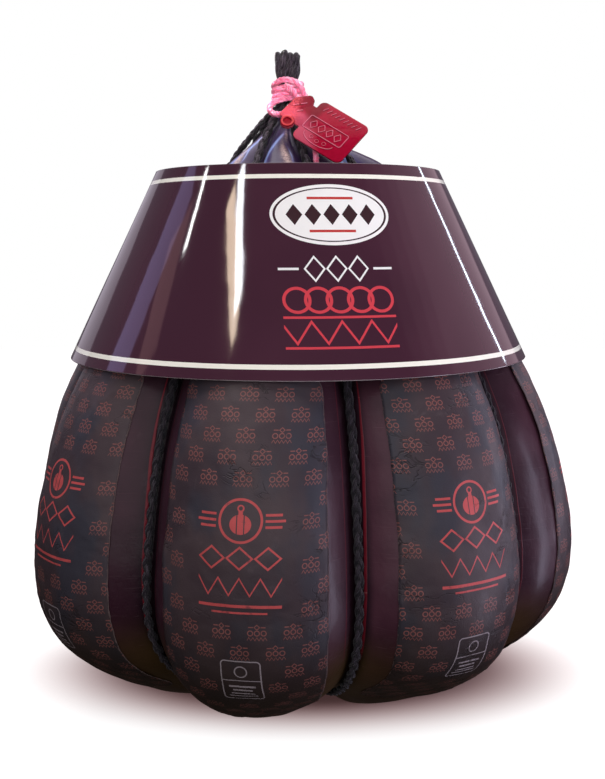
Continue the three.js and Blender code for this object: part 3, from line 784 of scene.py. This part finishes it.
def make_strip(lobe):
    """A paper strip with rounded ends, uneven edges that lift here and there, and small folds."""
    rows, columns = 138, 56
    corner, half_width = 15.0, 62
    middle_across, half = (0.145, 0.675) if lobe == 1 else (0.0, 0.7)  # as parts of half a lobe
    fine = np.linspace(STRIP_FIRST, STRIP_LAST, 400)
    lengths = run_length(smooth_skin(lobe, 0.0, fine))
    down = np.linspace(0, lengths[-1], rows)
    along = np.interp(down, lengths, fine)[:, None]
    from_end = np.minimum(down, lengths[-1] - down)
    cut = corner - np.sqrt(np.maximum(corner**2 - np.maximum(corner - from_end, 0) ** 2, 0))
    ragged, loose = [], []
    for s in (-1, 1):
        wide, narrow = noise1(down / 19 + 9 * s, 20 + lobe), noise1(down / 4 + 5 * s, 40 + lobe)
        ragged.append(1 + 0.012 * wide + 0.006 * narrow)
        loose.append(np.maximum(noise1(down / 26 + 3 * s, 60 + lobe) - 0.12, 0))
    if lobe == 1:  # this strip's near edge has come away for much of its length
        loose[0] += 0.75 * smoothstep(down, 4, 30) * smoothstep(down, 150, 90)
    side = np.linspace(-1, 1, columns)[None, :]
    by_side = lambda left, right: np.where(side < 0, left[:, None], right[:, None])
    width, lifting = by_side(*ragged), by_side(*loose)
    across = middle_across + side * half * width * (1 - cut[:, None] / half_width)
    points = smooth_skin(lobe, across, along)
    folds = 0.34 * np.maximum(0, 1 - np.abs(noise(points / [17, 17, 11], 80 + lobe)) * 7)
    folds = folds * smoothstep(noise(points / 42, 90), -0.05, 0.35)
    puckers = 0.16 * noise(points / 7, 100 + lobe)
    relief = folds + puckers + lifting * smoothstep(np.abs(side), 0.90, 1.0) * 1.7
    faces_at = [skin(lobe, across, along, gap + relief).reshape(-1, 3) for gap in PAPER_FACES]
    run = run_length(points)
    x = run - (run[:, columns // 2] + run[:, columns // 2 - 1])[:, None] / 2
    y = DEVICE_DOWN[lobe] - down[:, None]
    # How far each point is from the edge, with the left edge counted as farther off, so that the pale
    # fringe and its painted highlight keep mostly to the right edge.
    edge = np.minimum(np.minimum(run + 0.5, run[:, -1:] - run), from_end[:, None] + 0.3)
    print_at = stack(x + DEVICE_ASIDE[lobe], y, edge).reshape(-1, 3)
    count = rows * columns
    faces = grid_faces(rows, columns) + grid_faces(rows, columns, start=count)
    at = np.arange(count).reshape(rows, columns)
    rim = np.concatenate([at[:, 0], at[-1, 1:], at[-2::-1, -1], at[0, -2:0:-1]]).tolist()
    faces += [(a, b, b + count, a + count) for a, b in zip(rim, rim[1:] + rim[:1])]
    piece = make_piece(f"paper_strip_{lobe + 1}", np.vstack(faces_at), faces, [PAPER],
                       {"print": np.vstack([print_at, print_at])})
    join_on(piece, "label_paper", f"label_{lobe + 1}")


# Each rope's groove in front and behind, its column in the hanging loop, the height of its top
# there, and how much higher it rides over the shoulder.
ROPES = [
    (6, 5, -1.5, 468.6, 0), (7, 4, -0.5, 470.0, 0), (0, 3, 0.5, 468.4, 0), (1, 2, 1.5, 468.0, 5),
]
LOOP_BEND, LOOP_DEEP = 3.2, 2.9  # the loop's radius at the rope's middle, and the rope's half depth
PLAIT = [3.05, 2.7, 1.56]  # half its width and half its depth in a groove, and a strand's radius
PLAIT_PITCH = 31
STRANDS, STRAND_SIDES = 3, 10
STRAND_APART = 600  # between one strand's distances along it and the next one's
# How far round a strand each of its sides is, there and back, so that no seam shows.
THERE_AND_BACK = np.abs(np.arange(STRAND_SIDES) - STRAND_SIDES / 2) * math.tau / STRAND_SIDES


def groove_path(groove, side, ride):
    """The rope's middle in a groove from the crossing up to the neck, and its sideways direction."""
    azimuth = FIRST_GROOVE + groove * STEP
    rows = np.linspace(28, 2, 105)
    bottom = half_section(GROOVE, rows / ROWS)
    tangent = unit(half_section(GROOVE, rows / ROWS + 1e-3) - half_section(GROOVE, rows / ROWS - 1e-3))
    seat = 6.6 + 6.0 * smoothstep(rows, 20, 25) + ride * bell(bottom[:, 1], *SHOULDER)
    r, z = (bottom + stack(-tangent[:, 1], tangent[:, 0]) * seat[:, None]).T
    sideways = np.array([math.cos(azimuth), math.sin(azimuth), 0.0]) * side
    repeat = (len(rows), 1)
    return on_azimuth(azimuth, r, z), np.tile(sideways, repeat), np.tile(PLAIT, repeat)


def loop_place(column, y, height):
    """A place in the hanging loop, and the sizes there: drawn together in the tie, free above it."""
    free = smoothstep(height, 447, 455)
    x = NECK_LEAN + column * 4.4 * (0.84 + 0.16 * free)
    return (x, y, height), (1.8 + 0.85 * free, LOOP_DEEP, 1.2 + 0.7 * free)


def make_rope(number, front, back, column, top, ride):
    """Three strands in a loose flat plait, up one groove, over the hanging loop and down another."""
    bend = top - LOOP_DEEP - LOOP_BEND
    ups = np.linspace(431.5, bend, 9)[:-1]
    turns = np.linspace(0, math.pi, 19)
    over = [(-LOOP_BEND * math.cos(t), bend + LOOP_BEND * math.sin(t)) for t in turns]
    way = [(-LOOP_BEND, h) for h in ups] + over + [(LOOP_BEND, h) for h in ups[::-1]]
    places, loop_size = zip(*[loop_place(column, y, h) for y, h in way])
    up, up_side, up_size = groove_path(front, 1, ride)
    down, down_side, down_size = groove_path(back, -1, ride)
    centres = np.vstack([up, np.array(places) + SHIFT, down[::-1]])
    hints = np.vstack([up_side, np.tile([1.0, 0, 0], (len(way), 1)), down_side[::-1]])
    sizes = np.vstack([up_size, loop_size, down_size[::-1]])
    # A smooth run over the places where the neck hands the rope to the loop.
    knots = np.linspace(0, len(centres) - 1, len(centres) * 4)
    centres, hints, sizes = spline(centres, knots), spline(hints, knots), spline(sizes, knots)
    s, centres, hints, sizes = even_path(centres, 1.5, hints, sizes)
    first, second = frames_along(centres, hints)
    wide, deep, thick = sizes.T
    aside, out = (wide - thick)[:, None], (deep - thick)[:, None]
    phase = math.tau * s / PLAIT_PITCH + 0.5 * noise1(s / PLAIT_PITCH, number)
    build = Build()
    spread = lambda values: np.repeat(values, STRAND_SIDES, axis=0)
    for strand in range(STRANDS):
        turn = (phase + math.tau * strand / STRANDS)[:, None]
        path = centres + first * aside * np.sin(turn) + second * out * np.sin(2 * turn)
        path += 0.2 * (first * noise1(s / 9, 7 * number + strand)[:, None])
        radii = thick * (1 + 0.09 * noise1(s / 6, 30 + 5 * number + strand))
        across, around = frames_along(path, first)
        points, faces = tube(path, across, around * 0.92, radii, STRAND_SIDES)
        outward = np.sum((points[:-2] - spread(centres)) * spread(second), -1) / spread(deep)
        start = STRAND_APART * (STRANDS * number + strand)
        build.add(points, faces, tube_values(s + start, math.pi - THERE_AND_BACK, outward))
    join_on(build.piece(f"plaited_rope_{number}", [ROPE]), "rope", f"rope_{number}")


def make_crossing():
    """The knot under the base where the ropes meet: three strands woven round in a flat ring."""
    t = np.linspace(0, math.tau, 241)[:-1]
    build = Build()
    for strand in range(STRANDS):
        turn = t * 2 + math.tau * strand / STRANDS
        radius = 6.9 + 2.7 * np.cos(3.5 * t + strand * 2.1)
        height = 9.4 + 2.2 * np.sin(7 * t + strand)
        path = stack(radius * np.cos(turn), radius * np.sin(turn), height) + SHIFT
        path[-1] = path[0] * 0.5 + path[-1] * 0.5
        points, faces = tube(path, *carried_frames(path), 2.0, STRAND_SIDES)
        build.add(points, faces, tube_values(t * 14 + STRAND_APART * strand, THERE_AND_BACK, 1.0))
    join_on(build.piece("base_knot", [ROPE]), "rope", "rope_crossing")


# From the loop's middle: the tail comes up from the shoulder and arches over the tie; the bight
# passes behind the seal's head and slants back up.
STRING_TAIL = [
    (20.6, -52.8, 384.5), (20.2, -49.5, 390), (19.8, -44, 398), (19.6, -36, 408), (19.4, -28, 417.5),
    (18, -21.5, 425.5), (14.8, -16.6, 431.8), (11.6, -14.2, 436.6), (10.2, -13.6, 440.4),
    (7.4, -13.1, 444), (1.8, -12.3, 446.4), (-4.4, -11.9, 446.4),
]
STRING_BIGHT = [
    (-5, -11, 432.8), (-9.2, -12.2, 430.8), (-12, -14.6, 428), (-12.5, -19, 424.6),
    (-10, -23.6, 421.6), (-5.2, -27.2, 420.6), (0.2, -28.4, 421.4), (4.8, -27.2, 424),
    (7.6, -24.2, 427.8), (7.6, -20, 432), (5, -17.4, 436.4), (1.8, -16, 440), (-1.8, -15.6, 442.8),
]


def make_string():
    """Three soft plies laid round each other, along the tie and through the seal's head."""
    steps = 12  # to one turn round the ropes, where its outline is a square with round corners
    drop = 4.25  # how much lower each turn lies than the one before
    lay = 9.5  # how far it runs while its plies turn once
    corner = lambda v: math.copysign(abs(v) ** 0.62, v)
    tie = []
    for i in range(34):
        angle = -0.42 * math.pi - math.tau * i / steps
        aside, ahead = corner(math.sin(angle)), -corner(math.cos(angle))
        tie.append((9.8 * aside, 9.5 * ahead, 445.6 - drop * i / steps + 1.6 * aside))
    points = np.array(STRING_TAIL + tie + STRING_BIGHT) + [NECK_LEAN, 0, 0] + SHIFT
    s, path = even_path(spline(points, np.linspace(0, len(points) - 1, 1200)), 0.75)
    first, second = carried_frames(path)
    taper = smoothstep(s, 0, 3) * smoothstep(s, s[-1], s[-1] - 3) * 0.35 + 0.65
    build = Build()
    for ply in range(3):
        turn = (math.tau * (s / lay + ply / 3) + 0.5 * noise1(s / 9, 3))[:, None]
        centre = path + (first * np.cos(turn) + second * np.sin(turn)) * taper[:, None]
        radii = 1.26 * taper * (1 + 0.12 * noise1(s / 3, 11 + ply))
        points, faces = tube(centre, *frames_along(centre, first), radii, STRAND_SIDES)
        build.add(points, faces, tube_values(s, THERE_AND_BACK, float(ply)), kind=int(ply == 1))
    join_on(build.piece("twisted_string", [STRING_DEEP, STRING_PALE]), "string", "tie_string")


PRINT_AZIMUTH = math.radians(10.5)


def make_collar():
    """The card cone: its printed face, the foot's rounded rim, the bare inside, and the top's rim."""
    top, foot = (104.0, 381.5), (168.45, 248.3)  # each edge's radius and height
    thickness, sides = 0.8, 360
    tilt, aside = math.radians(-0.15), 0.7
    middle = (top[1] + foot[1]) / 2
    slant = math.hypot(foot[0] - top[0], top[1] - foot[1])
    out = np.array([top[1] - foot[1], foot[0] - top[0]]) / slant  # outwards, in the half section
    face = np.linspace(0, 1, 46)
    face = np.concatenate([[0, 0.3 / slant], face[1:-1], [1 - 0.3 / slant, 1]])
    rim = [(0.12, 0.1), (0.4, 0.16), (0.68, 0.1)]  # depths in the card, and how far past its edge
    # Each ring's place from the top edge to the foot, its depth, and its distance down the print.
    rings = [(v, 0.0, v * slant) for v in face]
    rings += [(1 + past / slant, depth, slant) for depth, past in rim]
    rings += [(v, thickness, v * slant) for v in face[::-1]]
    rings += [(-past / slant, depth, 0.0) for depth, past in rim[::-1]]
    azimuth = turns_round(sides)
    off = (azimuth - PRINT_AZIMUTH + math.pi) % math.tau - math.pi
    points, prints = [], []
    for v, depth, down in rings:
        r = top[0] + (foot[0] - top[0]) * v
        h = top[1] + (foot[1] - top[1]) * v - middle
        around = stack(np.sin(azimuth) * r / 60, -np.cos(azimuth) * r / 60, h / 90)
        lift = 0.28 * noise(around, 50) - depth
        radius, height = r + lift * out[0], h + lift * out[1]
        x = radius * np.sin(azimuth)
        lean_x = x * math.cos(tilt) + height * math.sin(tilt) + aside
        lean_z = -x * math.sin(tilt) + height * math.cos(tilt) + middle
        points.append(stack(lean_x, -radius * np.cos(azimuth), lean_z) + SHIFT)
        prints.append(stack(off * r, down, 0.0))
    faces = grid_faces(len(rings), sides, around=True, closed=True)
    bare = range(len(face) - 1, len(rings) - len(rim) - 1)  # the rows of faces below and inside
    kinds = np.repeat([row in bare for row in range(len(rings))], sides)
    piece = make_piece("card_cone", np.vstack(points), faces, [CARD_FACE, CARD_BARE],
                       {"print": np.vstack(prints)}, kinds)
    join_on(piece, "collar_card", "collar")


def rounded(corners, steps=6):
    """An outline through corners given as (x, y, radius), each one rounded."""
    outline = []
    for i, (x, y, radius) in enumerate(corners):
        here = np.array([x, y], float)
        before = unit(np.array(corners[i - 1][:2], float) - here)
        after = unit(np.array(corners[(i + 1) % len(corners)][:2], float) - here)
        half = math.acos(np.clip(before.dot(after), -1, 1)) / 2
        reach = radius / math.tan(half)
        centre = here + unit(before + after) * radius / math.sin(half)
        start = here + before * reach - centre
        end = here + after * reach - centre
        for k in range(steps + 1):
            w = k / steps
            direction = unit(start * (1 - w) + end * w)
            outline.append(centre + direction * radius)
    return np.array(outline)


def flat_ended(rings):
    """The points and faces of a shape made of rings, its two ends flat."""
    count = len(rings[0])
    last = (len(rings) - 1) * count
    faces = grid_faces(len(rings), count, around=True)
    return np.vstack(rings), faces + [tuple(range(count)), tuple(range(last, last + count))]


def slab(outline, low, high, bevel):
    """A closed plate of an outline counted anticlockwise, with its edges eased."""
    ahead = unit(np.roll(outline, -1, 0) - outline)
    inward = unit((ahead + np.roll(ahead, 1, 0)) @ np.array([[0, 1.0], [-1.0, 0]]))
    eased = bevel * 0.3
    levels = [(bevel, low), (eased, low + eased), (0, low + bevel)]
    levels += [(0, high - bevel), (eased, high - eased), (bevel, high)]
    rings = [np.insert(outline + inward * inset, 2, height, axis=1) for inset, height in levels]
    return flat_ended(rings)


def ridge(build, corners, height, radius, closed=False):
    """A raised line of the seal's relief, half sunk in its face."""
    up = np.tile([0, 0, 1.0], (len(corners), 1))
    path = np.insert(np.array(corners, float), 2, height, axis=1)
    if closed:
        ahead = unit(np.roll(path, -1, 0) - path)
        across = unit(np.cross(ahead + np.roll(ahead, 1, 0), up))
        across /= np.maximum(np.sum(across * np.cross(ahead, up), -1, keepdims=True), 0.4)  # mitred
    else:
        across = unit(np.cross(np.gradient(path, axis=0), up))
    points, faces = tube(path, across, up, radius, 8, closed)
    build.add(points, faces, points)


SEAL_PLACE = np.array([23.7, -44.6, 405.9])
SEAL_ROLL, SEAL_LEAN = math.radians(-37), math.radians(57)
SEAL_THICK = 1.4
SEAL_OUTLINE = [
    (20.5, -19, 4.5), (20.5, 19, 4.5), (-20.5, 19, 4.5), (-20.5, 11.2, 0.6), (-23.7, 11.2, 0.5),
    (-25.2, 15.4, 2.0), (-28.6, 17.6, 2.0), (-30.6, 17.2, 2.4), (-38.0, 9.6, 3.6),
    (-38.5, -8.4, 1.2), (-36.9, -9.4, 1.2), (-20.5, -9.4, 0.6), (-20.5, -19, 4.5),
]
SEAL_KNOB = (-29.2, -11.3)  # near the head's lower end
KNOB_SECTION = [(4.8, 0.0), (5.0, 0.3), (5.0, 2.7), (4.7, 3.15), (4.0, 3.4), (2.8, 3.1), (2.5, 2.3)]


def make_seal():
    """A plate and a head on a short neck, with a raised frame, a plain relief and a knob."""
    build = Build()
    points, faces = slab(rounded(SEAL_OUTLINE), 0.0, SEAL_THICK, 0.35)
    build.add(points, faces, points)
    border = rounded([(13, -7.9, 1.2), (13, 3.9, 1.2), (-19, 3.9, 1.2), (-19, -7.9, 1.2)], 3)
    ridge(build, border, SEAL_THICK, 0.5, closed=True)
    for x in (-13.2, -6.4, 0.4, 7.2):
        lozenge = rounded([(x + 2.7, -2, 0.3), (x, 1.8, 0.3), (x - 2.7, -2, 0.3), (x, -5.8, 0.3)], 2)
        ridge(build, lozenge, SEAL_THICK, 0.45, closed=True)
    for x in np.linspace(-14, 14, 9):
        ridge(build, [(x - 1.0, 11.4), (x + 1.0, 15.2)], SEAL_THICK, 0.45)
    arc = [(-3 + 12 * math.cos(t), -10.4 - 5.6 * math.sin(t)) for t in np.linspace(0, math.pi, 17)]
    ridge(build, arc, SEAL_THICK, 0.45)
    for x, y in ((-8.4, -11.6), (-3, -12.6), (2.4, -11.6)):
        ring = [(x + 1.4 * math.cos(t), y + 1.4 * math.sin(t)) for t in turns_round(12)]
        ridge(build, ring[::-1], SEAL_THICK, 0.35, closed=True)
    for x, y in ((-29.5, 8.6), (-33.6, 4.4), (-28.2, 1.8)):
        ridge(build, [(x - 1.5, y - 1.6), (x + 1.5, y + 1.6)], SEAL_THICK, 0.5)
    turns = turns_round(36)
    circle = stack(np.cos(turns), np.sin(turns), 0.0)
    knob = [circle * radius + [*SEAL_KNOB, height] for radius, height in KNOB_SECTION]
    points, faces = flat_ended(knob)
    build.add(points, faces, points)

    turn = Matrix.Rotation(SEAL_LEAN, 3, "X") @ Matrix.Rotation(SEAL_ROLL, 3, "Z")
    build.points = [np.vstack(build.points) @ np.array(turn).T + SEAL_PLACE + SHIFT]
    piece = build.piece("plastic_seal", [SEAL])
    piece.data.set_sharp_from_angle(angle=math.radians(38))
    join_on(piece, "seal_plastic", "seal")


make_wax()
for lobe in range(LOBES):
    make_strip(lobe)
for i, rope in enumerate(ROPES):
    make_rope(i + 1, *rope)
make_crossing()
make_string()
make_collar()
make_seal()


# ---- Floor, light and camera ----
def make_floor():
    g = Graph("pale_floor", Roughness=0.9, Specular_IOR_Level=0.1)
    x, y, _ = g.split(g.node("TexCoord").outputs["Object"])
    # The floor glows white everywhere but in a painted shadow: a soft, brownish ellipse under the
    # cheese.
    shadow = g.length((x - 0.005) / 0.175, y / 0.1)
    bright = g.ramp(shadow, 0.66, 1.38, 0.045, 1.0)
    warm = g.math("POWER", bright, 1.25)
    g.finish(Base_Color=(0.20, 0.155, 0.155), Emission_Color=g.join(bright, warm, warm),
             Emission_Strength=1.0)
    radius, sides = 2.6, 96
    turns = turns_round(sides)
    rim = radius * stack(np.cos(turns), np.sin(turns), 0.0)
    mesh = bpy.data.meshes.new("floor")
    mesh.from_pydata(rim.tolist(), [], [tuple(range(sides))])
    mesh.materials.append(g.material)
    floor = put_in_scene("floor", mesh)
    floor.visible_glossy = floor.visible_diffuse = floor.visible_shadow = False
    floor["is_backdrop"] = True


def panel(name, start, end, width, watts, colour=(1, 1, 1), aim=(0, 0, 0.25), shine_only=False,
          spread=180):
    """A soft light as long as from start to end, facing the object, unseen by the camera itself.

    One of shine only is seen in glossy surfaces and lights nothing else. One whose spread is
    narrowed isn't seen in them.
    """
    start, end = Vector(start), Vector(end)
    light = bpy.data.lights.new(name, "AREA")
    light.shape = "RECTANGLE"
    light.size, light.size_y = width, (end - start).length
    light.energy = watts
    light.color = colour
    light.spread = math.radians(spread)
    lamp = put_in_scene(name, light)
    place = (start + end) / 2
    back = (place - Vector(aim)).normalized()
    up = (end - start) - back * (end - start).dot(back)
    up.normalize()
    turn = Matrix((up.cross(back), up, back)).transposed().to_4x4()
    lamp.matrix_world = Matrix.Translation(place) @ turn
    lamp.visible_camera = False
    lamp.visible_diffuse = not shine_only
    lamp.visible_glossy = spread == 180


def make_world():
    world = bpy.data.worlds.new("studio")
    world.use_nodes = True
    g = Nodes(world.node_tree)
    # A dim room above the level of the floor and a dark one below it light the object.
    up = g.split(g.node("TexCoord").outputs["Generated"])[2]
    rising = g.node("MapRange", {0: up, 1: -0.25, 2: 0.12}).outputs[0]
    room = g.node("Background", {0: g.mix(rising, (0.035, 0.024, 0.020), (0.17, 0.155, 0.19))})
    # The background behind it is plain white.
    seen = g.node("Background", {0: (1.0, 1.0, 1.0)})
    from_camera = g.node("LightPath").outputs["Is Camera Ray"]
    both = g.node("MixShader", {0: from_camera, 1: room.outputs[0], 2: seen.outputs[0]})
    g.node("OutputWorld", {0: both.outputs[0]})
    bpy.context.scene.world = world


def make_lights():
    panel("overhead", (0, -0.8, 2.1), (0, 1.4, 2.1), 2.2, 56, aim=(0, 0.3, 0))
    panel("front", (0, -3.0, -0.3), (0, -2.6, 2.4), 4.2, 46)
    panel("flank_right", (1.15, -0.60, 0.46), (1.23, -0.27, -0.45), 0.22, 6.5, (0.80, 0.78, 1.0))
    panel("far_right", (1.02, 0.46, 0.33), (1.17, -0.02, -0.08), 0.14, 2.4, (0.84, 0.80, 1.0))
    panel("knot", (-0.20, -0.55, 0.735), (-0.20, -0.55, 0.765), 0.03, 0.024,
          aim=(-0.026, -0.02, 0.450), spread=8)
    # The room that the varnished collar mirrors.
    shine = lambda *of: panel(*of, shine_only=True)
    shine("streak_left", (-1.05, -0.08, 1.22), (-1.11, -0.185, 1.095), 0.04, 0.8)
    shine("streak_front", (-0.750, -0.552, 1.372), (-0.635, -0.845, 1.215), 0.068, 2.4,
          (0.92, 0.95, 1.0))
    shine("streak_warm", (-0.822, -0.535, 1.304), (-0.632, -0.865, 1.168), 0.075, 1.6,
          (1.0, 0.78, 0.58))
    shine("streak_right", (1.02, 0.60, 1.0), (1.155, 0.67, 0.56), 0.030, 0.95, (0.72, 0.84, 1.0))
    for reach in (-0.52, -0.36, -0.20, -0.04):  # one over the other, so that the near edge is soft
        shine("room_right", (1.02, reach, 1.12), (0.88, 1.0, 0.5), 0.75, 0.52, (1.0, 0.70, 0.80))
    shine("side_left", (-1.24, 0.20, 0.64), (-1.10, 0.165, 1.137), 0.27, 0.62, (0.56, 0.50, 1.0))
    shine("wall_left", (-1.215, -0.215, 0.875), (-1.13, 0.035, 1.075), 0.20, 0.19, (1.0, 0.54, 0.52))
    shine("edge_left", (-0.99, 0.88, 0.27), (-0.60, 1.16, 0.70), 0.55, 0.52, (0.95, 0.86, 1.0))


def make_camera():
    focal, photo_height = 1058, 779  # in the photo's pixels
    looks_down = 0.14
    camera = bpy.data.cameras.new("camera")
    camera.sensor_width = 36
    camera.lens = focal / photo_height * camera.sensor_width
    eye = put_in_scene("camera", camera)
    eye.location = (0.0025, -0.7989, 0.332)
    eye.rotation_euler = (math.pi / 2 - looks_down, 0, 0)
    bpy.context.scene.camera = eye


make_floor()
make_world()
make_lights()
make_camera()
bpy.context.scene.view_settings.view_transform = "Standard"

as_lists = lambda bounds: [[float(v) for v in corner] for corner in bounds]
{"cad": as_lists(cad_bounds), "visual": as_lists(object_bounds())}
